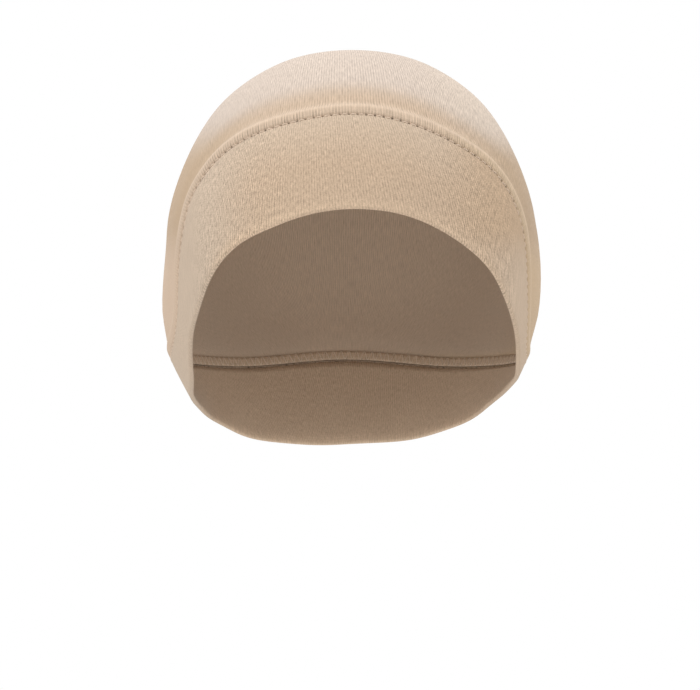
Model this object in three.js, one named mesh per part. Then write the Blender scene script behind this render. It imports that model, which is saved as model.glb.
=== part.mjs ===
// Underscarf cap of stretch jersey, in the form it takes when it is worn.
// Millimetres, +Z up, the face opening towards -Y. The origin is the inner top of the crown.

import * as THREE from "three";

// Hollow that the stretched cloth encloses, without its side swells
const HOLLOW_WIDTH = 151;
const HOLLOW_FRONT = 91;
const HOLLOW_BACK = 97;
const HOLLOW_DEPTH = 165;
const WIDEST_BACK = 16;
const SECTION_ROUNDNESS = 2.12;

// Swells low on the two sides, where the cloth stands off, a little fuller and lower on the left
const LEFT_SWELL_HEIGHT = 5.5;
const LEFT_SWELL_DROP = 114;
const RIGHT_SWELL_HEIGHT = 4.6;
const RIGHT_SWELL_DROP = 106;
const SWELL_BACK = 14;
const SWELL_LENGTH = 110;
const SWELL_DEPTH = 80;

// Cloth, seam and the small air gap between pieces that touch
const CLOTH = 1.0;
const BAND_THICKNESS = 2.0;
const GROOVE_DEPTH = 0.6;
const ALLOWANCE_WIDTH = 4.4;
const ALLOWANCE_THICKNESS = 1.4;
const CLEARANCE = 0.3;

// The allowance is pressed flatter along the sides and the back. From and to are shares of the half round.
const FLAT_SHARE = 0.55;
const FLAT_FROM = 0.38;
const FLAT_TO = 0.52;

// Tilt of the crown's axis, back from the vertical, and the height of the middle of the hollow
const CROWN_TILT = 28;
const MIDDLE_BACK_SHARE = 0.05;
const MIDDLE_DROP_SHARE = 0.53;

// Level sections of the hollow, from its top down, as shares of its four named sizes
const SECTIONS = [
  { drop: 0.00, half: 0.000, front: 0.000, back: 0.000 },
  { drop: 0.02, half: 0.322, front: 0.272, back: 0.270 },
  { drop: 0.06, half: 0.515, front: 0.460, back: 0.462 },
  { drop: 0.12, half: 0.688, front: 0.622, back: 0.630 },
  { drop: 0.20, half: 0.820, front: 0.760, back: 0.768 },
  { drop: 0.31, half: 0.932, front: 0.880, back: 0.885 },
  { drop: 0.45, half: 0.998, front: 0.968, back: 0.972 },
  { drop: 0.60, half: 0.968, front: 1.000, back: 1.000 },
  { drop: 0.72, half: 0.922, front: 0.985, back: 0.950 },
  { drop: 0.83, half: 0.850, front: 0.950, back: 0.865 },
  { drop: 0.92, half: 0.785, front: 0.910, back: 0.780 },
  { drop: 1.00, half: 0.735, front: 0.880, back: 0.715 },
  { drop: 1.15, half: 0.690, front: 0.850, back: 0.670 },
];

// Seam, from the middle of the front to the nape. way is the share of the half round, turn and polar are
// degrees about the crown's axis, and askew is how much lower the seam runs on the right than on the left.
const SEAM = [
  { way: 0.00, turn: 0, polar: 80.7, askew: 0.0 },
  { way: 0.09, turn: 15, polar: 82, askew: 0.9 },
  { way: 0.17, turn: 28, polar: 83.3, askew: 2.0 },
  { way: 0.24, turn: 39, polar: 85.2, askew: 2.4 },
  { way: 0.29, turn: 46, polar: 88.3, askew: 2.8 },
  { way: 0.34, turn: 52, polar: 92.8, askew: 3.2 },
  { way: 0.39, turn: 58, polar: 99.2, askew: 2.5 },
  { way: 0.44, turn: 66, polar: 105.6, askew: 2.0 },
  { way: 0.50, turn: 74, polar: 111.8, askew: 0.8 },
  { way: 0.57, turn: 84, polar: 116.6, askew: 0.7 },
  { way: 0.64, turn: 96, polar: 115.8, askew: 0.5 },
  { way: 0.72, turn: 111, polar: 110.5, askew: 0.2 },
  { way: 0.80, turn: 130, polar: 102, askew: 0.0 },
  { way: 0.89, turn: 153, polar: 93, askew: 0.0 },
  { way: 1.00, turn: 180, polar: 87, askew: 0.0 },
];

// Face edge of the band, in the same columns
const FACE_EDGE = [
  { way: 0.00, turn: 0, polar: 106.2, askew: 0.0 },
  { way: 0.09, turn: 12.5, polar: 107.1, askew: 0.3 },
  { way: 0.17, turn: 23.5, polar: 109.2, askew: 0.8 },
  { way: 0.24, turn: 33, polar: 111.1, askew: 1.4 },
  { way: 0.29, turn: 41, polar: 113.3, askew: 1.5 },
  { way: 0.34, turn: 48, polar: 115.8, askew: 1.5 },
  { way: 0.39, turn: 54, polar: 118.0, askew: 1.3 },
  { way: 0.45, turn: 61, polar: 120.2, askew: 0.9 },
  { way: 0.54, turn: 73, polar: 123.2, askew: 0.4 },
  { way: 0.66, turn: 93, polar: 126.8, askew: -1.8 },
  { way: 0.78, turn: 119, polar: 119.2, askew: -2.4 },
  { way: 0.89, turn: 149, polar: 113.6, askew: -1.0 },
  { way: 1.00, turn: 180, polar: 110.8, askew: 0.0 },
];

// Crown margin over the seam allowance, in allowance widths from the seam and shares of the full lift
const WELT = [
  { across: 0.18, rise: 0.72 },
  { across: 0.42, rise: 1.00 },
  { across: 0.78, rise: 1.06 },
  { across: 1.08, rise: 1.00 },
  { across: 1.45, rise: 0.52 },
  { across: 1.85, rise: 0.14 },
  { across: 2.40, rise: 0.00 },
];

// Section of the seam allowance, in allowance widths from the seam and shares of its thickness
const ALLOWANCE_TOP = [
  { across: 0.30, rise: 0.55 },
  { across: 0.46, rise: 1.00 },
  { across: 0.92, rise: 1.00 },
  { across: 1.06, rise: 0.55 },
];

// Outer face of the band from the seam down, as shares of its width and of the groove's depth
const BAND_FACE = [
  { across: 0.025, sunk: 0.45 },
  { across: 0.06, sunk: 0.10 },
  { across: 0.12, sunk: 0.00 },
  { across: 0.28, sunk: 0.00 },
  { across: 0.45, sunk: 0.00 },
  { across: 0.62, sunk: 0.00 },
  { across: 0.80, sunk: 0.00 },
];

// Facets round the cap, from the welt to the top of the crown, and round the fold of the band
const STEPS_ROUND = 72;
const STEPS_UP = 11;
const STEPS_FOLD = 4;

const radians = THREE.MathUtils.degToRad;

// Natural cubic spline through the rows of a table
function smoothCurve(places, values) {
  const last = places.length - 1;
  const factor = new Array(last + 1).fill(0);
  const bend = new Array(last + 1).fill(0);
  for (let i = 1; i < last; i += 1) {
    const before = places[i] - places[i - 1];
    const after = places[i + 1] - places[i];
    const slopeChange = (values[i + 1] - values[i]) / after - (values[i] - values[i - 1]) / before;
    const weight = 2 * (before + after) - before * factor[i - 1];
    factor[i] = after / weight;
    bend[i] = (6 * slopeChange - before * bend[i - 1]) / weight;
  }
  for (let i = last - 1; i > 0; i -= 1) {
    bend[i] -= factor[i] * bend[i + 1];
  }
  return (place) => {
    let i = 0;
    while (i < last - 1 && place > places[i + 1]) {
      i += 1;
    }
    const step = places[i + 1] - places[i];
    const right = (place - places[i]) / step;
    const left = 1 - right;
    const curve = (left ** 3 - left) * bend[i] + (right ** 3 - right) * bend[i + 1];
    return left * values[i] + right * values[i + 1] + (step * step * curve) / 6;
  };
}

// Sections are spaced by the root of the drop, which keeps the top of the crown round
const rootDrops = SECTIONS.map((row) => Math.sqrt(row.drop));
const halfShare = smoothCurve(rootDrops, SECTIONS.map((row) => row.half));
const frontShare = smoothCurve(rootDrops, SECTIONS.map((row) => row.front));
const backShare = smoothCurve(rootDrops, SECTIONS.map((row) => row.back));

// One at the middle of a swell and none at its border
function swellAt(offset, reach) {
  const share = Math.min(Math.abs(offset) / reach, 1);
  return (1 - share * share) ** 2;
}

function isInHollow(point) {
  const drop = -point.z;
  if (drop <= 0) {
    return false;
  }
  const root = Math.sqrt(drop / HOLLOW_DEPTH);
  const swellHeight = point.x < 0 ? LEFT_SWELL_HEIGHT : RIGHT_SWELL_HEIGHT;
  const swellDrop = point.x < 0 ? LEFT_SWELL_DROP : RIGHT_SWELL_DROP;
  const swellAlong = swellAt(point.y - SWELL_BACK, SWELL_LENGTH / 2);
  const swellDown = swellAt(drop - swellDrop, SWELL_DEPTH / 2);
  const half = (halfShare(root) * HOLLOW_WIDTH) / 2 + swellHeight * swellAlong * swellDown;
  const widestAt = WIDEST_BACK * backShare(root);
  const offset = point.y - widestAt;
  const frontReach = frontShare(root) * HOLLOW_FRONT + widestAt;
  const backReach = backShare(root) * HOLLOW_BACK - widestAt;
  const reach = offset < 0 ? frontReach : backReach;
  const across = (Math.abs(point.x) / half) ** SECTION_ROUNDNESS;
  const along = (Math.abs(offset) / reach) ** SECTION_ROUNDNESS;
  return across + along < 1;
}

// Directions leave the middle of the hollow, and turn and polar are taken about the crown's axis
const middle = new THREE.Vector3(0, MIDDLE_BACK_SHARE * HOLLOW_BACK, -MIDDLE_DROP_SHARE * HOLLOW_DEPTH);
const crownAxis = new THREE.Vector3(0, Math.sin(radians(CROWN_TILT)), Math.cos(radians(CROWN_TILT)));
const forward = new THREE.Vector3(0, -Math.cos(radians(CROWN_TILT)), Math.sin(radians(CROWN_TILT)));
const sideways = new THREE.Vector3(1, 0, 0);

function directionAt(turn, polar) {
  const level = Math.sin(radians(polar));
  return crownAxis
    .clone()
    .multiplyScalar(Math.cos(radians(polar)))
    .addScaledVector(forward, level * Math.cos(radians(turn)))
    .addScaledVector(sideways, level * Math.sin(radians(turn)));
}

// Point where a direction leaves the hollow, found by halving
function pointOnHollow(direction) {
  const point = new THREE.Vector3();
  let inside = 0;
  let outside = HOLLOW_WIDTH + HOLLOW_FRONT + HOLLOW_BACK + HOLLOW_DEPTH;
  for (let halving = 0; halving < 40; halving += 1) {
    const reach = (inside + outside) / 2;
    point.copy(middle).addScaledVector(direction, reach);
    if (isInHollow(point)) {
      inside = reach;
    } else {
      outside = reach;
    }
  }
  return point;
}

function normalOnHollow(direction) {
  const tilt = 0.01;
  const helper = Math.abs(direction.x) < 0.9 ? sideways : crownAxis;
  const first = new THREE.Vector3().crossVectors(direction, helper).normalize().multiplyScalar(tilt);
  const second = new THREE.Vector3().crossVectors(direction, first).normalize().multiplyScalar(tilt);
  const along = (step, sign) => pointOnHollow(direction.clone().addScaledVector(step, sign).normalize());
  const firstRun = along(first, 1).sub(along(first, -1));
  const secondRun = along(second, 1).sub(along(second, -1));
  return firstRun.cross(secondRun).normalize();
}

// Point at a height over the hollow
function liftedPoint(direction, lift) {
  return pointOnHollow(direction).addScaledVector(normalOnHollow(direction), lift);
}

// Direction part of the way from one direction to another, along the great circle
function between(start, end, share) {
  const angle = start.angleTo(end);
  return start
    .clone()
    .multiplyScalar(Math.sin((1 - share) * angle) / Math.sin(angle))
    .addScaledVector(end, Math.sin(share * angle) / Math.sin(angle));
}

// Column of a loop's table as a closed curve: left half, right half, and two rows past the nape each way
function loopCurve(table, valueAt) {
  const rows = [];
  for (const row of table.slice(1).reverse()) {
    rows.push({ way: -row.way, value: valueAt(row, -1) });
  }
  for (const row of table) {
    rows.push({ way: row.way, value: valueAt(row, 1) });
  }
  const rise = rows[rows.length - 1].value - rows[0].value;
  const before = rows.slice(-3, -1).map((row) => ({ way: row.way - 2, value: row.value - rise }));
  const after = rows.slice(1, 3).map((row) => ({ way: row.way + 2, value: row.value + rise }));
  const all = [...before, ...rows, ...after];
  return smoothCurve(all.map((row) => row.way), all.map((row) => row.value));
}

const turnOf = (row, side) => side * row.turn;
const polarOf = (row, side) => row.polar + side * row.askew;
const seamTurn = loopCurve(SEAM, turnOf);
const seamPolar = loopCurve(SEAM, polarOf);
const edgeTurn = loopCurve(FACE_EDGE, turnOf);
const edgePolar = loopCurve(FACE_EDGE, polarOf);

// Stations round the cap, each with its allowance's thickness and the directions of seam and face edge
const stations = [];
for (let step = 0; step < STEPS_ROUND; step += 1) {
  const way = (2 * step) / STEPS_ROUND - 1;
  const flatness = THREE.MathUtils.smoothstep(Math.abs(way), FLAT_FROM, FLAT_TO);
  stations.push({
    allowance: ALLOWANCE_THICKNESS * (1 - (1 - FLAT_SHARE) * flatness),
    seam: directionAt(seamTurn(way), seamPolar(way)),
    edge: directionAt(edgeTurn(way), edgePolar(way)),
  });
}

// Each station also knows the seam's place, and the way across it that points at the crown
stations.forEach((station, index) => {
  const next = stations[(index + 1) % STEPS_ROUND];
  const previous = stations[(index + STEPS_ROUND - 1) % STEPS_ROUND];
  const along = pointOnHollow(next.seam).sub(pointOnHollow(previous.seam));
  station.place = pointOnHollow(station.seam);
  station.across = normalOnHollow(station.seam).cross(along).normalize();
  station.width = station.seam.angleTo(station.edge) * station.place.distanceTo(middle);
});

// Direction at a distance from the seam, towards the crown where it is positive
function besideSeam(station, distance) {
  return station.place.clone().addScaledVector(station.across, distance).sub(middle).normalize();
}

// Ring of points, one for each station, at one height or at each station's own
function ringOf(directionOf, lift) {
  const liftOf = typeof lift === "number" ? () => lift : lift;
  return stations.map((station) => liftedPoint(directionOf(station), liftOf(station)));
}

// Closed body through a list of rings, which starts and ends in a point or runs round to its first ring
function bodyThrough(rings, ends) {
  const positions = rings.flat().flatMap((point) => point.toArray());
  const faces = [];
  const corner = (ring, step) => ring * STEPS_ROUND + (step % STEPS_ROUND);
  const strips = ends ? rings.length - 1 : rings.length;
  for (let ring = 0; ring < strips; ring += 1) {
    const next = (ring + 1) % rings.length;
    for (let step = 0; step < STEPS_ROUND; step += 1) {
      faces.push(corner(ring, step), corner(next, step), corner(ring, step + 1));
      faces.push(corner(ring, step + 1), corner(next, step), corner(next, step + 1));
    }
  }
  if (ends) {
    const first = positions.length / 3;
    positions.push(...ends[0].toArray(), ...ends[1].toArray());
    for (let step = 0; step < STEPS_ROUND; step += 1) {
      faces.push(first, corner(0, step), corner(0, step + 1));
      faces.push(first + 1, corner(rings.length - 1, step + 1), corner(rings.length - 1, step));
    }
  }
  const geometry = new THREE.BufferGeometry();
  geometry.setAttribute("position", new THREE.Float32BufferAttribute(positions, 3));
  geometry.setIndex(faces);
  geometry.computeVertexNormals();
  return geometry;
}

function clothMesh(name, geometry, colour) {
  const cloth = new THREE.MeshStandardMaterial({ color: colour, roughness: 0.9, metalness: 0 });
  const mesh = new THREE.Mesh(geometry, cloth);
  mesh.name = name;
  return mesh;
}

// Crown: one ply, pulled over the hollow, whose margin rides over the seam allowance as a welt
function makeCrown() {
  const riseOf = (row) => (station) => row.rise * (station.allowance + CLEARANCE);
  const crownMargin = (station) => besideSeam(station, WELT[WELT.length - 1].across * ALLOWANCE_WIDTH);
  const outer = [];
  const inner = [];
  for (let step = 1; step < STEPS_UP; step += 1) {
    const upward = (station) => between(crownAxis, crownMargin(station), step / STEPS_UP);
    outer.push(ringOf(upward, CLOTH));
    inner.push(ringOf(upward, 0));
  }
  for (const row of [...WELT].reverse()) {
    const acrossWelt = (station) => besideSeam(station, row.across * ALLOWANCE_WIDTH);
    outer.push(ringOf(acrossWelt, (station) => riseOf(row)(station) + CLOTH));
    inner.push(ringOf(acrossWelt, riseOf(row)));
  }
  const atSeam = (station) => besideSeam(station, CLEARANCE / 2);
  outer.push(ringOf(atSeam, BAND_THICKNESS - GROOVE_DEPTH));
  inner.push(ringOf(atSeam, CLEARANCE));
  const tops = [liftedPoint(crownAxis, CLOTH), liftedPoint(crownAxis, 0)];
  return clothMesh("crown", bodyThrough([...outer, ...inner.reverse()], tops), 0xe2cfba);
}

// Face band: a strip folded double, with the fold at the face edge, closed to a ring
function makeFaceBand() {
  const acrossBand = (share) => (station) => between(station.seam, station.edge, share);
  const atSeam = (station) => besideSeam(station, -CLEARANCE / 2);
  const rings = [ringOf(atSeam, 0), ringOf(atSeam, BAND_THICKNESS - GROOVE_DEPTH)];
  for (const row of BAND_FACE) {
    rings.push(ringOf(acrossBand(row.across), BAND_THICKNESS - row.sunk * GROOVE_DEPTH));
  }
  const foldRadius = BAND_THICKNESS / 2;
  for (let step = 0; step <= STEPS_FOLD; step += 1) {
    const angle = Math.PI * (0.5 - step / STEPS_FOLD);
    const setBack = foldRadius * (1 - Math.cos(angle));
    const onFold = (station) => between(station.seam, station.edge, 1 - setBack / station.width);
    rings.push(ringOf(onFold, foldRadius + foldRadius * Math.sin(angle)));
  }
  for (const row of [...BAND_FACE].reverse()) {
    rings.push(ringOf(acrossBand(row.across), 0));
  }
  return clothMesh("face_band", bodyThrough(rings, null), 0xcdb195);
}

// Seam allowance: the overlocked raw edges, turned up under the crown's margin
function makeSeamAllowance() {
  const rings = [];
  for (const row of ALLOWANCE_TOP) {
    const acrossSeam = (station) => besideSeam(station, row.across * ALLOWANCE_WIDTH);
    rings.unshift(ringOf(acrossSeam, (station) => row.rise * station.allowance));
  }
  for (const row of ALLOWANCE_TOP) {
    const acrossSeam = (station) => besideSeam(station, row.across * ALLOWANCE_WIDTH);
    rings.push(ringOf(acrossSeam, 0));
  }
  return clothMesh("seam_allowance", bodyThrough(rings, null), 0xd8c2a8);
}

const group = new THREE.Group();
group.add(makeCrown(), makeFaceBand(), makeSeamAllowance());

export default group;
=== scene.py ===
import bpy
import numpy as np
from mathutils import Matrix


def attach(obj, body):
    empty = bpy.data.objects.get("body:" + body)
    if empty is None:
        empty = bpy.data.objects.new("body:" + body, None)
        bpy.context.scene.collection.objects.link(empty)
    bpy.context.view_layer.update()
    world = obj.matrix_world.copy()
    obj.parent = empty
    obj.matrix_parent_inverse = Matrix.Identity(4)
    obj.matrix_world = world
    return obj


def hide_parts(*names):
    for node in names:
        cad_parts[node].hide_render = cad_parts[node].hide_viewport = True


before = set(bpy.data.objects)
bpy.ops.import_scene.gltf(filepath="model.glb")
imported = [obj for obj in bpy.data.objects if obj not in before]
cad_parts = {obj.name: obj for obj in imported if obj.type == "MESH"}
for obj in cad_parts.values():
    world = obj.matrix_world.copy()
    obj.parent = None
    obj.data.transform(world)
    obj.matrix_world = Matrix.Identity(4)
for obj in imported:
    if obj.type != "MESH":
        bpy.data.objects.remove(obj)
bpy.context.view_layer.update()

# Crown
# One ply of fine jersey, cut in one piece and stretched over the hollow. Its lower margin rides over the
# seam allowance and stands up as a welt, held down at each needle hole of the seam.

# Hollow that the cap is stretched over, in millimetres, with the origin at its top
HOLLOW_WIDTH = 151
HOLLOW_FRONT = 91
HOLLOW_BACK = 97
HOLLOW_DEPTH = 165
WIDEST_BACK = 16
SECTION_ROUNDNESS = 2.12
LEFT_SWELL = {"height": 5.5, "drop": 114}
RIGHT_SWELL = {"height": 4.6, "drop": 106}
SWELL_BACK = 14
SWELL_LENGTH = 110
SWELL_DEPTH = 80

# Middle of the hollow, as shares of its back and its depth, and the tilt of the crown over it, in degrees
MIDDLE_BACK = 0.05
MIDDLE_DROP = 0.53
CROWN_TILT = 28

# Level sections: drop as a share of the depth, then half width, front and back as shares of their sizes
SECTIONS = np.array([
    (0.00, 0.000, 0.000, 0.000),
    (0.02, 0.322, 0.272, 0.270),
    (0.06, 0.515, 0.460, 0.462),
    (0.12, 0.688, 0.622, 0.630),
    (0.20, 0.820, 0.760, 0.768),
    (0.31, 0.932, 0.880, 0.885),
    (0.45, 0.998, 0.968, 0.972),
    (0.60, 0.968, 1.000, 1.000),
    (0.72, 0.922, 0.985, 0.950),
    (0.83, 0.850, 0.950, 0.865),
    (0.92, 0.785, 0.910, 0.780),
    (1.00, 0.735, 0.880, 0.715),
    (1.15, 0.690, 0.850, 0.670),
])
LOWEST_DROP = 1.6
LEAST_SHARE = 1e-6

# Seam from the front to the nape: share of the half round, turn, polar, and how much lower on the right
SEAM = np.array([
    (0.00, 0, 80.7, 0.0),
    (0.09, 15, 82, 0.9),
    (0.17, 28, 83.3, 2.0),
    (0.24, 39, 85.2, 2.4),
    (0.29, 46, 88.3, 2.8),
    (0.34, 52, 92.8, 3.2),
    (0.39, 58, 99.4, 2.7),
    (0.44, 66, 106.2, 2.6),
    (0.50, 74, 112.9, 1.9),
    (0.57, 84, 117.8, 1.9),
    (0.64, 96, 116.9, 1.6),
    (0.72, 111, 111.2, 0.9),
    (0.80, 130, 102.3, 0.3),
    (0.89, 153, 93, 0.0),
    (1.00, 180, 87, 0.0),
])

# Search for the hollow's wall, and the steps and samples that runs along it are measured with
FARTHEST = 200.0
HALVINGS = 30
TURN_STEP = 0.01
WAY_STEP = 0.004
SAMPLES = 4001


def smooth_curve(places, values):
    """Natural cubic spline."""
    steps = np.diff(places)
    slopes = np.diff(values) / steps
    system = np.eye(len(places))
    turns = np.zeros(len(places))
    for i in range(1, len(places) - 1):
        system[i, i - 1:i + 2] = steps[i - 1], 2 * (steps[i - 1] + steps[i]), steps[i]
        turns[i] = 6 * (slopes[i] - slopes[i - 1])
    bends = np.linalg.solve(system, turns)

    def curve(place):
        i = np.clip(np.searchsorted(places, place) - 1, 0, len(places) - 2)
        right = (place - places[i]) / steps[i]
        left = 1 - right
        bent = (left ** 3 - left) * bends[i] + (right ** 3 - right) * bends[i + 1]
        return left * values[i] + right * values[i + 1] + steps[i] ** 2 * bent / 6

    return curve


# Sizes of the sections by the root of their drop, in which the top is as smooth as the rest
roots = np.linspace(0, np.sqrt(LOWEST_DROP), SAMPLES)
section_roots = np.sqrt(SECTIONS[:, 0])
half_shares, front_shares, back_shares = [
    np.maximum(smooth_curve(section_roots, shares)(roots), LEAST_SHARE) for shares in SECTIONS[:, 1:].T
]
middle = np.array([0, MIDDLE_BACK * HOLLOW_BACK, -MIDDLE_DROP * HOLLOW_DEPTH])
tilt = np.radians(CROWN_TILT)
crown_axis = np.array([0, np.sin(tilt), np.cos(tilt)])
forward = np.array([0, -np.cos(tilt), np.sin(tilt)])
sideways = np.array([1.0, 0, 0])


def unit(vectors):
    return vectors / np.linalg.norm(vectors, axis=-1, keepdims=True)


def smooth_step(values, start, end):
    share = np.clip((values - start) / (end - start), 0, 1)
    return share * share * (3 - 2 * share)


def bell(offset, reach):
    return np.exp(-(offset / reach) ** 2)


def swell_at(offset, reach):
    share = np.minimum(np.abs(offset) / reach, 1)
    return (1 - share * share) ** 2


def is_in_hollow(points):
    x, y, drop = points[..., 0], points[..., 1], -points[..., 2]
    root = np.sqrt(np.maximum(drop, 0) / HOLLOW_DEPTH)
    swell_height = np.where(x < 0, LEFT_SWELL["height"], RIGHT_SWELL["height"])
    swell_drop = np.where(x < 0, LEFT_SWELL["drop"], RIGHT_SWELL["drop"])
    swell = swell_at(y - SWELL_BACK, SWELL_LENGTH / 2) * swell_at(drop - swell_drop, SWELL_DEPTH / 2)
    half = np.interp(root, roots, half_shares) * HOLLOW_WIDTH / 2 + swell_height * swell
    back_share = np.interp(root, roots, back_shares)
    widest_at = WIDEST_BACK * back_share
    offset = y - widest_at
    front_reach = np.interp(root, roots, front_shares) * HOLLOW_FRONT + widest_at
    back_reach = back_share * HOLLOW_BACK - widest_at
    reach = np.where(offset < 0, front_reach, back_reach)
    across = (np.abs(x) / half) ** SECTION_ROUNDNESS
    along = (np.abs(offset) / reach) ** SECTION_ROUNDNESS
    return (drop > 0) & (across + along < 1)


def place_on_hollow(directions):
    """Where each direction from the middle leaves the hollow, found by halving."""
    inside = np.zeros(directions.shape[:-1])
    outside = np.full(directions.shape[:-1], FARTHEST)
    for _ in range(HALVINGS):
        reach = (inside + outside) / 2
        kept = is_in_hollow(middle + directions * reach[..., None])
        inside = np.where(kept, reach, inside)
        outside = np.where(kept, outside, reach)
    return middle + directions * inside[..., None]


def normal_on_hollow(directions):
    helper = np.where(np.abs(directions[..., :1]) < 0.9, sideways, crown_axis)
    first = unit(np.cross(directions, helper)) * TURN_STEP
    second = unit(np.cross(directions, first)) * TURN_STEP
    first_run = place_on_hollow(unit(directions + first)) - place_on_hollow(unit(directions - first))
    second_run = place_on_hollow(unit(directions + second)) - place_on_hollow(unit(directions - second))
    return unit(np.cross(first_run, second_run))


def lay(directions, lift):
    """Points at a height over the hollow, in millimetres."""
    return place_on_hollow(directions) + normal_on_hollow(directions) * np.asarray(lift)[..., None]


def direction_at(turn, polar):
    turn, polar = np.radians(turn)[..., None], np.radians(polar)[..., None]
    level = np.cos(turn) * forward + np.sin(turn) * sideways
    return np.cos(polar) * crown_axis + np.sin(polar) * level


def between(start, end, share):
    """Part of the way from one direction to another, along the great circle."""
    angle = np.arccos(np.clip(np.sum(start * end, axis=-1), -1, 1))[..., None]
    share = np.asarray(share)[..., None]
    return (np.sin((1 - share) * angle) * start + np.sin(share * angle) * end) / np.sin(angle)


def loop_curves(table):
    """Turn and polar of a closed loop by way, from the nape over the left side and the front."""
    left, right = table[:0:-1], table
    way = np.concatenate([-left[:, 0], right[:, 0]])
    turn = np.concatenate([-left[:, 1], right[:, 1]])
    polar = np.concatenate([left[:, 2] - left[:, 3], right[:, 2] + right[:, 3]])
    way = np.concatenate([way[-3:-1] - 2, way, way[1:3] + 2])
    turn = np.concatenate([turn[-3:-1] - 360, turn, turn[1:3] + 360])
    polar = np.concatenate([polar[-3:-1], polar, polar[1:3]])
    return smooth_curve(way, turn), smooth_curve(way, polar)


seam_turn, seam_polar = loop_curves(SEAM)


def seam_direction(ways):
    return direction_at(seam_turn(ways), seam_polar(ways))


def seam_frame(ways):
    """Places on the seam, and the directions across it towards the crown."""
    directions = seam_direction(ways)
    ahead = place_on_hollow(seam_direction(ways + WAY_STEP))
    along = ahead - place_on_hollow(seam_direction(ways - WAY_STEP))
    return place_on_hollow(directions), unit(np.cross(normal_on_hollow(directions), along))


# Columns of the cloth: five to a stitch, and each stitch equally long
STITCH = 3.3
COLUMNS_A_STITCH = 5
even_way = np.linspace(-1, 1, SAMPLES)
seam_steps = np.linalg.norm(np.diff(place_on_hollow(seam_direction(even_way)), axis=0), axis=1)
seam_run = np.concatenate([[0], np.cumsum(seam_steps)])
stitches = round(seam_run[-1] / STITCH)
stitch = np.linspace(0, stitches, stitches * COLUMNS_A_STITCH + 1)
way = np.interp(stitch / stitches * seam_run[-1], seam_run, even_way)
off_front = np.abs(way)
seam_place, seam_across = seam_frame(way)

# Dent that the thread pulls into the cloth at each needle hole, and the spot of painted shade in it
DENT_LENGTH = 0.45
DENT_WIDTH = 0.5
DENT_DEPTH = 0.30
SPOT_LENGTH = 0.5
SPOT_WIDTH = 0.55

# Ribs where the cloth is gathered over the welt
RIBS_A_STITCH = 8 / 3
RIBS_OFF_SEAM = 1.4
RIBS_REACH = 1.9

# Both in metres: a millimetre, and how near two points of a sheet lie that become one
MILLIMETRE = 0.001
MERGE_DISTANCE = 0.000001


def beside_seam(distance):
    """Directions at a distance from the seam, towards the crown where it is positive."""
    return unit(seam_place + seam_across * np.asarray(distance)[..., None] - middle)


def dent_at(across):
    """Depth of the dents along a row of the cloth at a distance from the seam."""
    along = (stitch - np.rint(stitch)) * STITCH
    return DENT_DEPTH * np.exp(-(along / DENT_LENGTH) ** 2 - (across / DENT_WIDTH) ** 2)


def map_off_seam(distance):
    """Map of a sheet by stitches along the seam and millimetres off it, towards the crown."""
    return np.stack([np.broadcast_to(stitch, distance.shape), distance], axis=-1)


def tinted(places, colour, *layers):
    """Colour of each point: one for the whole cloth, and others laid over it by their shares."""
    tint = np.array(colour) + 0 * places
    for other, share in layers:
        tint = tint + (np.array(other) - tint) * np.clip(share, 0, 1)[..., None]
    return tint


def cloth_sheet(name, places, knit_map, stitch_map, tint, grain, thickness):
    """Sheet through rows of points, closed to a ring, with its thickness under the given face.

    Each point carries a tint, which is its colour with any painted light and shade, and a grain, which is
    how strongly the knit shows.
    """
    rows, columns = places.shape[:2]
    bpy.ops.mesh.primitive_grid_add(
        x_subdivisions=columns - 1, y_subdivisions=rows - 1, size=1, calc_uvs=False
    )
    piece = bpy.context.object
    piece.name = name
    piece.data.name = name
    mesh = piece.data
    flat = np.empty(len(mesh.vertices) * 3)
    mesh.vertices.foreach_get("co", flat)
    column = np.rint((flat[0::3] + 0.5) * (columns - 1)).astype(int)
    row = np.rint((flat[1::3] + 0.5) * (rows - 1)).astype(int)
    mesh.vertices.foreach_set("co", (places[row, column] * MILLIMETRE).ravel())
    corner = np.empty(len(mesh.loops), int)
    mesh.loops.foreach_get("vertex_index", corner)
    for map_name, values in (("knit", knit_map), ("seam", stitch_map)):
        layer = mesh.uv_layers.new(name=map_name)
        layer.uv.foreach_set("vector", values[row[corner], column[corner]].ravel())
    colours = np.concatenate([tint, np.ones((rows, columns, 1))], axis=2)[row, column]
    mesh.attributes.new("tint", "FLOAT_COLOR", "POINT").data.foreach_set("color", colours.ravel())
    mesh.attributes.new("grain", "FLOAT", "POINT").data.foreach_set("value", grain[row, column])

    # Points that lie on each other become one, where the ring closes and where a row runs into one point
    bpy.ops.object.mode_set(mode="EDIT")
    bpy.ops.mesh.select_all(action="SELECT")
    bpy.ops.mesh.remove_doubles(threshold=MERGE_DISTANCE)
    bpy.ops.object.mode_set(mode="OBJECT")
    wall = piece.modifiers.new("Wall", "SOLIDIFY")
    wall.thickness = thickness * MILLIMETRE
    wall.offset = -1
    bpy.ops.object.modifier_apply(modifier=wall.name)
    bpy.ops.object.shade_smooth()
    return piece


def new_material(name, settings):
    """Material, its tree and its shader, with the shader's plain inputs set."""
    material = bpy.data.materials.new(name)
    material.use_nodes = True
    shader = material.node_tree.nodes["Principled BSDF"]
    for input_name, value in settings.items():
        shader.inputs[input_name].default_value = value
    return material, material.node_tree, shader


def feed(tree, socket, value):
    """Link a socket to another, or set it to a plain value."""
    if isinstance(value, bpy.types.NodeSocket):
        tree.links.new(value, socket)
    else:
        socket.default_value = value


def calc(tree, operation, *values):
    node = tree.nodes.new("ShaderNodeMath")
    node.operation = operation
    for socket, value in zip(node.inputs, values):
        feed(tree, socket, value)
    return node.outputs[0]


def product(tree, *values):
    total = values[0]
    for value in values[1:]:
        total = calc(tree, "MULTIPLY", total, value)
    return total


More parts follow.
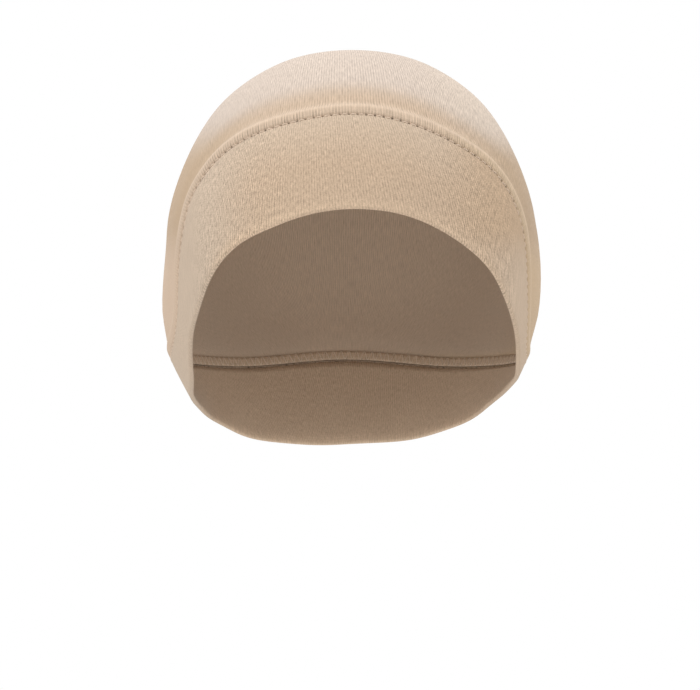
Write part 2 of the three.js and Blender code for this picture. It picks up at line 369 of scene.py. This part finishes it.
def weighted_sum(tree, *terms):
    total = 0.0
    for value, weight in terms:
        total = calc(tree, "MULTIPLY_ADD", value, weight, total)
    return total


def wave(tree, turns):
    return calc(tree, "COSINE", calc(tree, "MULTIPLY", turns, 2 * np.pi))


def spot(tree, *offsets):
    """One where all offsets are zero, and faded out where they are about two."""
    reach = 0.0
    for offset in offsets:
        reach = calc(tree, "MULTIPLY_ADD", offset, offset, reach)
    return calc(tree, "EXPONENT", calc(tree, "MULTIPLY", reach, -1.0))


def noise(tree, vector, scale, detail):
    """Noise about zero."""
    node = tree.nodes.new("ShaderNodeTexNoise")
    feed(tree, node.inputs["Vector"], vector)
    feed(tree, node.inputs["Scale"], scale)
    feed(tree, node.inputs["Detail"], detail)
    return calc(tree, "SUBTRACT", node.outputs["Fac"], 0.5)


def parts(tree, vector):
    """Numbers that a vector is made of."""
    node = tree.nodes.new("ShaderNodeSeparateXYZ")
    feed(tree, node.inputs[0], vector)
    return node.outputs


def on_map(tree, map_name):
    """Both places on a map of the cloth."""
    node = tree.nodes.new("ShaderNodeUVMap")
    node.uv_map = map_name
    return parts(tree, node.outputs[0])[:2]


def carried(tree, attribute_name):
    """Value that each point of the cloth carries, in its different forms."""
    node = tree.nodes.new("ShaderNodeAttribute")
    node.attribute_name = attribute_name
    return node.outputs


def colour_surface(tree, shader, colour, tone):
    """Give the shader a colour that the tone makes lighter or darker."""
    toned = tree.nodes.new("ShaderNodeVectorMath")
    toned.operation = "SCALE"
    feed(tree, toned.inputs[0], colour)
    feed(tree, toned.inputs["Scale"], calc(tree, "ADD", tone, 1.0))
    feed(tree, shader.inputs["Base Color"], toned.outputs[0])


def raise_surface(tree, shader, height, strength, distance):
    bump = tree.nodes.new("ShaderNodeBump")
    feed(tree, bump.inputs["Strength"], strength)
    feed(tree, bump.inputs["Distance"], distance)
    feed(tree, bump.inputs["Height"], height)
    feed(tree, shader.inputs["Normal"], bump.outputs[0])


def jersey(name, wale_tone, dash_tone, dash_pace, fleck_tone):
    """Fine knit: rows of loops along the wales, flecked yarn, and needle holes along the seam with painted
    shade in them.
    """
    material, tree, shader = new_material(name, {
        "Roughness": 0.9,
        "Specular IOR Level": 0.2,
        "Sheen Weight": 0.08,
        "Sheen Roughness": 0.5,
        "Sheen Tint": (1.0, 0.96, 0.91, 1.0),
    })
    wale, course = on_map(tree, "knit")
    seam_stitch, off_seam = on_map(tree, "seam")
    place = tree.nodes.new("ShaderNodeTexCoord").outputs["Object"]
    off_right = parts(tree, place)[0]
    grain = carried(tree, "grain")["Fac"]
    less_on_sides = calc(tree, "MINIMUM", grain, 1.0)

    # Loops: a ridge on each wale, and legs that lean into it
    ridge = wave(tree, wale)
    lean = calc(tree, "PINGPONG", wale, 0.5)
    leg = wave(tree, calc(tree, "MULTIPLY_ADD", lean, 1.1, course))

    # Flecks: short dashes along the wales, and a finer and a slower mottle
    dashes = tree.nodes.new("ShaderNodeCombineXYZ")
    for socket, value, pace in zip(dashes.inputs, (wale, course), dash_pace):
        feed(tree, socket, calc(tree, "MULTIPLY", value, pace))
    dash = noise(tree, dashes.outputs[0], 1.0, 1.0)
    fine = noise(tree, place, 1500.0, 1.0)
    slow = noise(tree, place, 60.0, 2.0)

    # Ribs over the welt, stronger on the left than on the right
    rib_across = calc(tree, "DIVIDE", calc(tree, "SUBTRACT", off_seam, RIBS_OFF_SEAM), RIBS_REACH)
    rib_side = calc(tree, "MULTIPLY_ADD", off_right, -25.0, 0.85)
    rib_side = calc(tree, "MINIMUM", calc(tree, "MAXIMUM", rib_side, 0.45), 1.6)
    rib_mottle = calc(tree, "MULTIPLY_ADD", noise(tree, place, 70.0, 0.0), 2.0, 1.0)
    rib = wave(tree, calc(tree, "MULTIPLY", seam_stitch, RIBS_A_STITCH))
    rib = product(tree, rib, spot(tree, rib_across), rib_side, rib_mottle, less_on_sides)

    # Needle holes, with painted shade in them that is darker in some than in others
    hole_along = calc(tree, "MULTIPLY", calc(tree, "PINGPONG", seam_stitch, 0.5), STITCH / SPOT_LENGTH)
    hole_across = calc(tree, "DIVIDE", off_seam, SPOT_WIDTH)
    hole_mottle = calc(tree, "MULTIPLY_ADD", noise(tree, place, 180.0, 0.0), 3.0, 1.0)
    hole = product(tree, spot(tree, hole_along, hole_across), hole_mottle, less_on_sides)

    # The tone that follows the ridges, legs and ribs is painted shade in their grooves, along with their
    # bumps. The dashes, flecks and mottle are the yarn's own colour.
    knit_tone = weighted_sum(
        tree, (ridge, wale_tone), (leg, wale_tone * 0.5), (dash, dash_tone), (fine, fleck_tone)
    )
    tone = weighted_sum(
        tree, (product(tree, knit_tone, grain), 1.0), (rib, 0.08), (slow, 0.06), (hole, -0.28)
    )
    colour_surface(tree, shader, carried(tree, "tint")["Color"], tone)
    height = weighted_sum(tree, (ridge, 0.06), (leg, 0.03), (dash, 0.12), (rib, 0.10), (hole, -0.25))
    raise_surface(tree, shader, height, strength=0.6, distance=0.001)
    return material


# Spacing of the wales and courses, the ply, and the radius that the knit is laid over
WALE = 0.87
COURSE = 0.70
CROWN_PLY = 1.0
CROWN_RADIUS = 90

# Outer face of the crown's margin: distance from the seam and height over the hollow
WELT = np.array([
    (0.04, 1.66),
    (0.30, 1.96),
    (0.60, 2.26),
    (1.20, 2.53),
    (2.20, 2.70),
    (3.20, 2.82),
    (4.00, 2.74),
    (5.10, 2.16),
    (6.50, 1.42),
    (8.30, 1.06),
    (10.56, 1.00),
])
MARGIN_ROWS = [
    0.04, 0.20, 0.45, 0.75, 1.10, 1.50, 2.00, 2.60, 3.20,
    3.65, 4.10, 4.65, 5.20, 5.90, 6.70, 7.60, 8.80, 10.56,
]
ROWS_TO_TOP = 30

# The welt gets lower behind the temples. Its edge swells between each two needle holes, and a shallow dip
# follows it, deeper at the temples. The pairs of numbers are shares of the half round from the front.
WELT_LOSS = 0.37
WELT_EASES = (0.38, 0.52)
SWAG_HEIGHT = 0.2
SWAG_RISE = 0.8
SWAG_REACH = 0.9
DIP_DEPTH = 0.30
TEMPLE_DIP = 0.50
TEMPLE_STARTS = (0.08, 0.24)
TEMPLE_ENDS = (0.38, 0.50)
DIP_RISE = 13
DIP_REACH = 5
welt_height = smooth_curve(WELT[:, 0], WELT[:, 1])
fullness = 1 - WELT_LOSS * smooth_step(off_front, *WELT_EASES)
swag = -SWAG_HEIGHT / 2 * np.cos(2 * np.pi * stitch)
at_temple = smooth_step(off_front, *TEMPLE_STARTS) * (1 - smooth_step(off_front, *TEMPLE_ENDS))
dip = DIP_DEPTH + TEMPLE_DIP * at_temple
crown_directions = []
crown_lift = []
crown_rise = []
for across in MARGIN_ROWS:
    lift = CROWN_PLY + (welt_height(across) - CROWN_PLY) * fullness
    lift = lift - dip * bell(across - DIP_RISE, DIP_REACH) + swag * bell(across - SWAG_RISE, SWAG_REACH)
    crown_directions.append(beside_seam(across))
    crown_lift.append(lift - dent_at(across))
    crown_rise.append(np.full(len(stitch), across))
margin = crown_directions[-1]
margin_angle = np.arccos(np.sum(margin * crown_axis, axis=1))
for step in range(1, ROWS_TO_TOP + 1):
    share = step / ROWS_TO_TOP
    rise = MARGIN_ROWS[-1] + share * margin_angle * np.linalg.norm(seam_place - middle, axis=1)
    crown_directions.append(between(margin, crown_axis, share))
    crown_lift.append(CROWN_PLY - dip * bell(rise - DIP_RISE, DIP_REACH))
    crown_rise.append(rise)
crown_rise = np.array(crown_rise)
crown_places = lay(np.array(crown_directions), np.array(crown_lift))
crown_places[:, -1] = crown_places[:, 0]
crown_places[-1] = crown_places[-1, 0]

# Knit of the crown: wales from front to back and courses from side to side, even at the top
x, y, z = np.moveaxis(crown_places - middle, -1, 0)
crown_knit = np.stack([
    CROWN_RADIUS * np.arctan2(x, z + y * y / CROWN_RADIUS) / WALE,
    CROWN_RADIUS * np.arctan2(y, z + x * x / CROWN_RADIUS) / COURSE,
], axis=-1)

# Regions of the crown, in millimetres to the right, to the back, upwards and from the seam
off_right, off_back, above = np.moveaxis(crown_places, -1, 0)
in_front = 1 - smooth_step(off_back, 14, 60)
on_side = smooth_step(np.abs(off_right), 38, 60) * in_front
to_right = smooth_step(off_right, -30, 30)
low_down = 1 - smooth_step(above, -92, -70)
on_ridge = bell(crown_rise - 3.7, 0.9)
over_welt = smooth_step(crown_rise, 5, 9)
on_top = smooth_step(crown_rise, 11, 22) * smooth_step(above, -48, -27)
# Colour of the crown, with painted light and shade laid over it in the layers marked below. It is also a
# little yellower towards the right, and towards the back everything above the welt turns to one plain
# colour.
crown_colour_and_painted_light = tinted(
    crown_places,
    (0.525, 0.402, 0.298),
    ((0.532, 0.402, 0.276), smooth_step(off_right, 20, 55)),
    # Painted highlight along the top of the welt
    ((0.600, 0.465, 0.350), on_ridge),
    # Painted shade above the welt, which the painted light on the top covers further up
    ((0.495, 0.376, 0.275), over_welt),
    # Deeper painted shade above the welt on the upper sides
    ((0.462, 0.338, 0.228), over_welt * on_side * (1 - low_down)),
    # Painted light on the lower sides, yellower on the right
    ((0.565, 0.425, 0.312), on_side * low_down * (1 - to_right)),
    ((0.550, 0.405, 0.265), on_side * low_down * to_right),
    # Painted highlight on the welt, stronger on the right side
    ((0.620, 0.468, 0.320), on_ridge * on_side * to_right),
    # Painted light on the top where it faces the lamps, washed paler like sheen, more so towards the right
    ((0.545, 0.455, 0.385), on_top),
    ((0.588, 0.489, 0.402), on_top * smooth_step(off_right, 15, 50)),
    ((0.520, 0.405, 0.305), over_welt * (1 - in_front)),
)
crown_grain = 1.2 + 0.6 * smooth_step(off_right, 10, 40) - 0.25 * smooth_step(-off_right, 15, 40)
crown_grain *= (1 - 0.65 * smooth_step(np.abs(off_right), 58, 70)) * (1 - 0.5 * on_ridge)
crown_grain = 1 + (crown_grain - 1) * in_front
crown = cloth_sheet(
    "crown_cloth", crown_places, crown_knit, map_off_seam(crown_rise), crown_colour_and_painted_light, crown_grain, CROWN_PLY
)
crown.data.materials.append(
    jersey("crown_jersey", wale_tone=0.09, dash_tone=0.52, dash_pace=(1.8, 0.18), fleck_tone=0.14)
)
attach(crown, "root")
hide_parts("crown")

# Face band
# A strip of the same jersey folded double with the fold at the face edge, and closed to a ring that runs
# on under the ears to the nape. Both raw edges are caught in the seam.

# Face edge in the same columns as the seam
FACE_EDGE = np.array([
    (0.00, 0, 106.2, 0.0),
    (0.09, 12.5, 107.1, 0.3),
    (0.17, 23.5, 109.2, 0.8),
    (0.24, 33, 111.1, 1.4),
    (0.29, 41, 113.3, 1.5),
    (0.34, 48, 115.8, 1.5),
    (0.39, 54, 118.0, 1.3),
    (0.45, 61, 120.2, 0.9),
    (0.54, 73, 123.2, 0.4),
    (0.66, 93, 126.8, -1.8),
    (0.78, 119, 119.2, -2.4),
    (0.89, 149, 113.6, -1.0),
    (1.00, 180, 110.8, 0.0),
])
BAND_PLY = 0.9
BAND_WALE = 1.12
BAND_HEIGHT = 2.0
BAND_COLOUR = (0.483, 0.358, 0.253)
FOLD_RADIUS = 1.0
FOLD_STEPS = 6
OUTER_ROWS = [0.04, 0.30, 0.60, 1.00, 1.50, 2.20, 3.20, 4.50]
ROWS_ACROSS = 12
INNER_EDGE = 0.10
GROOVE_DEPTH = 0.36
GROOVE_REACH = 0.6
GROOVE_LOSS = 0.75
GROOVE_EASES = (0.26, 0.40)
HEM_WAVES = 26
HEM_WAVE_HEIGHT = 0.4

# Rows from the seam over the outer ply, round the fold and back on the inner ply, each with the share of
# the width where it lies, its height over the hollow and its run along the cloth
edge_turn, edge_polar = loop_curves(FACE_EDGE)
seam = seam_direction(way)
edge = direction_at(edge_turn(way), edge_polar(way))
band_width = np.arccos(np.sum(seam * edge, axis=1)) * np.linalg.norm(seam_place - middle, axis=1)
first_share = OUTER_ROWS[-1] / band_width
last_share = 1 - FOLD_RADIUS / band_width
groove = 1 - GROOVE_LOSS * smooth_step(off_front, *GROOVE_EASES)
band_rows = []
for distance in OUTER_ROWS:
    sunk = (GROOVE_DEPTH * np.exp(-distance / GROOVE_REACH) + dent_at(distance)) * groove
    band_rows.append((distance / band_width, BAND_HEIGHT - sunk, np.full(len(stitch), distance)))
for step in range(1, ROWS_ACROSS):
    share = first_share + (last_share - first_share) * step / ROWS_ACROSS
    band_rows.append((share, np.full(len(stitch), BAND_HEIGHT), share * band_width))
for step in range(FOLD_STEPS + 1):
    angle = np.pi * (0.5 - step / FOLD_STEPS)
    share = 1 - FOLD_RADIUS * (1 - np.cos(angle)) / band_width
    lift = np.full(len(stitch), FOLD_RADIUS + FOLD_RADIUS * np.sin(angle))
    band_rows.append((share, lift, share * band_width + FOLD_RADIUS * (np.pi / 2 - angle)))
for step in range(1, ROWS_ACROSS + 1):
    share = last_share * (1 - step / ROWS_ACROSS) + INNER_EDGE / band_width * step / ROWS_ACROSS
    band_rows.append((share, np.zeros(len(stitch)), (2 - share) * band_width))
band_share, band_lift, band_run = np.moveaxis(np.array(band_rows[::-1]), 1, 0)

# The face edge waves a little at the nape
at_edge = smooth_step(band_share, 0.3, 1.0)
behind = smooth_step(off_front, 0.76, 0.9)
band_lift = band_lift + HEM_WAVE_HEIGHT * at_edge * behind * np.sin(HEM_WAVES * np.pi * way)
band_places = lay(between(seam, edge, band_share), band_lift)
band_places[:, -1] = band_places[:, 0]

# Wales of the band stand round an axis that leans a little
band_axis = unit(np.array([-0.10, -0.07, 1.0]))
band_side = unit(np.cross(np.array([0, 1.0, 0]), band_axis))
band_back = np.cross(band_axis, band_side)
from_middle = band_places - middle
band_turn = np.unwrap(np.arctan2(from_middle @ band_side, -(from_middle @ band_back)), axis=1)
wales_round = round(seam_run[-1] / BAND_WALE)
band_knit = np.stack([band_turn / (2 * np.pi) * wales_round, band_run / COURSE], axis=-1)

# Regions of the band, in millimetres to the right, to the back, upwards and from the face edge
off_right, off_back, above = np.moveaxis(band_places, -1, 0)
off_middle = np.abs(off_right)
in_front = 1 - smooth_step(off_back, 5, 50)
to_left = smooth_step(-off_right, 35, 62) * in_front
to_right = smooth_step(off_right, 25, 62) * in_front
low_down = 1 - smooth_step(above, -95, -72)
on_fold = smooth_step(band_share * band_width, band_width - 4.5, band_width - 2)
on_fold *= 1 - smooth_step(off_middle, 45, 62)
# Colour of the band, with painted light and shade laid over it in the layers marked below
band_colour_and_painted_light = tinted(
    band_places,
    BAND_COLOUR,
    # Painted light, paler like sheen, on the band's upper part near the seam, less on the right
    ((0.515, 0.402, 0.300), (1 - band_run / 22) * (1 - 0.7 * to_right)),
    # Painted light on the left side
    ((0.506, 0.397, 0.299), to_left),
    # Painted shade on the upper right, and painted light on the lower right
    ((0.466, 0.332, 0.218), to_right * (1 - low_down)),
    ((0.520, 0.395, 0.285), to_right * low_down),
    # Painted highlight along the fold at the face edge
    ((0.555, 0.412, 0.290), on_fold),
)
band_grain = (1 + 0.5 * smooth_step(off_middle, 22, 42)) * (1 - 0.75 * smooth_step(off_middle, 59, 66))
band_grain = 0.8 + (band_grain - 0.8) * in_front
band = cloth_sheet(
    "band_cloth", band_places, band_knit, map_off_seam(-band_run), band_colour_and_painted_light, band_grain, BAND_PLY
)
band.data.materials.append(
    jersey("band_jersey", wale_tone=0.085, dash_tone=0.78, dash_pace=(2.2, 0.38), fleck_tone=0.42)
)
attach(band, "root")
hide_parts("face_band")

# Seam allowance
# The three raw edges of jersey, one of the crown and two of the band, trimmed and overlocked together.
# They are turned up under the crown's margin, which they lift to the welt.

# Section through it: distance from the seam and height over the hollow
ALLOWANCE = np.array([
    (1.30, 0.00),
    (2.40, -0.06),
    (3.60, -0.06),
    (4.60, 0.00),
    (4.78, 0.40),
    (4.60, 0.85),
    (4.00, 1.30),
    (3.00, 1.38),
    (2.00, 1.30),
    (1.35, 0.85),
    (1.15, 0.35),
    (1.30, 0.00),
])
ALLOWANCE_SKIN = 0.2
ALLOWANCE_LOSS = 0.45
PINCH = 0.07
OUT_OF_SEAM = 50
pinch = PINCH * np.cos(2 * np.pi * stitch)
allowance_fullness = 1 - ALLOWANCE_LOSS * smooth_step(off_front, *WELT_EASES)
allowance_places = np.array([
    lay(beside_seam(across), (lift + pinch) * allowance_fullness) for across, lift in ALLOWANCE
])
allowance_places[:, -1] = allowance_places[:, 0]
allowance_run = ALLOWANCE[:, 0][:, None] + 0 * stitch
allowance_knit = np.stack([
    np.broadcast_to(stitch * STITCH / WALE, allowance_run.shape),
    allowance_run,
], axis=-1)
allowance = cloth_sheet(
    "allowance_cloth",
    allowance_places,
    allowance_knit,
    allowance_knit + OUT_OF_SEAM,
    tinted(allowance_places, BAND_COLOUR),
    np.ones(allowance_run.shape),
    ALLOWANCE_SKIN,
)
allowance.data.materials.append(band.data.materials[0])
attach(allowance, "root")
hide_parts("seam_allowance")

# Thread of the seam
# Spun polyester thread of the seam that joins the crown to the band. It shows in the groove as a short bar
# between each two needle holes.
THREAD = 0.46

# One bar: place as a share of the stitch, distance from the seam and height over the hollow
BAR = np.array([
    (0.14, 0.00, 1.15),
    (0.24, -0.10, 1.75),
    (0.42, -0.16, 1.98),
    (0.60, -0.16, 1.98),
    (0.78, -0.10, 1.75),
    (0.88, 0.00, 1.15),
])


def spun_thread(name, colour):
    """Matt thread with its fibres as fine flecks."""
    material, tree, shader = new_material(name, {"Roughness": 0.6, "Sheen Weight": 0.2})
    place = tree.nodes.new("ShaderNodeTexCoord").outputs["Object"]
    fleck = noise(tree, place, 2500.0, 1.0)
    colour_surface(tree, shader, colour, calc(tree, "MULTIPLY", fleck, 0.2))
    raise_surface(tree, shader, fleck, strength=0.5, distance=0.0001)
    return material


def at_seam(position, across, lift):
    """Points by stitch position, distance from the seam and height, all of the same shape."""
    place, aside = seam_frame(np.interp(np.mod(position, stitches), stitch, way))
    return lay(unit(place + aside * across[..., None] - middle), lift)


def thread_piece(name, lines, diameter, closed):
    """Tubes along lines of points, each a thread's centre line."""
    curve = bpy.data.curves.new(name, "CURVE")
    curve.dimensions = "3D"
    curve.bevel_depth = diameter / 2 * MILLIMETRE
    curve.bevel_resolution = 1
    curve.use_fill_caps = True
    for line in lines:
        spline = curve.splines.new("POLY")
        spline.points.add(len(line) - 1)
        points = np.hstack([line * MILLIMETRE, np.ones((len(line), 1))])
        spline.points.foreach_set("co", points.ravel())
        spline.use_cyclic_u = closed
    piece = bpy.data.objects.new(name, curve)
    bpy.context.scene.collection.objects.link(piece)
    bpy.ops.object.select_all(action="DESELECT")
    piece.select_set(True)
    bpy.context.view_layer.objects.active = piece
    bpy.ops.object.convert(target="MESH")
    bpy.ops.object.shade_smooth()
    return bpy.context.object


bar_position = np.arange(stitches)[:, None] + BAR[:, 0]
bar_across = np.broadcast_to(BAR[:, 1], bar_position.shape)
bar_lift = np.broadcast_to(BAR[:, 2], bar_position.shape)
bars = at_seam(bar_position, bar_across, bar_lift)
seam_thread = thread_piece("seam_thread", bars, THREAD, closed=False)
seam_thread.data.materials.append(spun_thread("seam_thread", (0.64, 0.50, 0.38)))
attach(seam_thread, "root")

# Overlock thread
# Spun polyester thread on the inside of the cap. It loops over the raw edges of the allowance, once a
# stitch, and binds them.
LOOP_THREAD = 0.32
LOOP_POINTS = 8
LOOP_MIDDLE = 3.0
LOOP_REACH = 1.9
LOOP_LIFT = -0.16
LOOP_RISE = 0.06
loop_position = np.arange(0, stitches, 1 / LOOP_POINTS)
loop_turn = 2 * np.pi * loop_position
loop_across = LOOP_MIDDLE - LOOP_REACH * np.cos(loop_turn)
loop_lift = LOOP_LIFT - LOOP_RISE * np.sin(loop_turn)
loop_line = at_seam(loop_position, loop_across, loop_lift)
overlock = thread_piece("overlock_thread", [loop_line], LOOP_THREAD, closed=True)
overlock.data.materials.append(spun_thread("overlock_thread", (0.60, 0.49, 0.38)))
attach(overlock, "root")

# Floor
# Plain white floor, evenly lit and without gloss. It lies well below the cap, which is held up at the inner
# top of its crown.
FLOOR_DROP = 1.65
FLOOR_SIZE = 40
bpy.ops.mesh.primitive_plane_add(size=FLOOR_SIZE, location=(0, 0, -FLOOR_DROP))
floor = bpy.context.object
floor.name = "floor"
floor_white = new_material("floor_white", {
    "Base Color": (0, 0, 0, 1),
    "Specular IOR Level": 0,
    "Emission Color": (1, 1, 1, 1),
    "Emission Strength": 1,
})[0]
floor.data.materials.append(floor_white)

# Light and camera
# White surroundings that light the cap evenly, and soft lights from above, from the left and from behind.
# The camera stands before the face opening, a little to one side and level with it, and looks straight on.
LIGHT_AIM = np.array([0, 0, -0.09])
CAMERA_TURN = np.radians(-2)
CAMERA_DISTANCE = 1.1
CAMERA_SHIFT = -0.0009
CAMERA_HEIGHT = -0.1194
CAMERA_LENS = 137.98
CAMERA_SENSOR = 36
scene = bpy.context.scene
scene.view_settings.view_transform = "Standard"
world = bpy.data.worlds.new("White surroundings")
world.use_nodes = True
world.node_tree.nodes["Background"].inputs["Color"].default_value = (1, 1, 1, 1)
scene.world = world


def soft_light(name, place, size, power):
    """Square light that is aimed at the middle of the cap."""
    bpy.ops.object.light_add(type="AREA", location=place)
    lamp = bpy.context.object
    lamp.name = name
    lamp.data.size = size
    lamp.data.energy = power
    lamp.visible_camera = False
    aim = LIGHT_AIM - np.array(place)
    yaw = np.arctan2(aim[1], aim[0]) - np.pi / 2
    pitch = np.arctan2(np.hypot(aim[0], aim[1]), -aim[2])
    lamp.rotation_euler = (pitch, 0, yaw)


soft_light("top_light", (0.0, -0.2, 1.3), size=1.5, power=9.5)
soft_light("left_light", (-1.4, -0.7, 0.3), size=1.0, power=3.5)
soft_light("back_light", (0.0, 0.9, 1.1), size=1.0, power=3)

camera_side = np.array([np.cos(CAMERA_TURN), np.sin(CAMERA_TURN), 0])
camera_away = np.array([np.sin(CAMERA_TURN), -np.cos(CAMERA_TURN), 0])
camera_level = np.array([0, 0, CAMERA_HEIGHT])
bpy.ops.object.camera_add(
    location=camera_away * CAMERA_DISTANCE + camera_side * CAMERA_SHIFT + camera_level,
    rotation=(np.pi / 2, 0, CAMERA_TURN),
)
camera = bpy.context.object
camera.data.lens = CAMERA_LENS
camera.data.sensor_width = CAMERA_SENSOR
scene.camera = camera
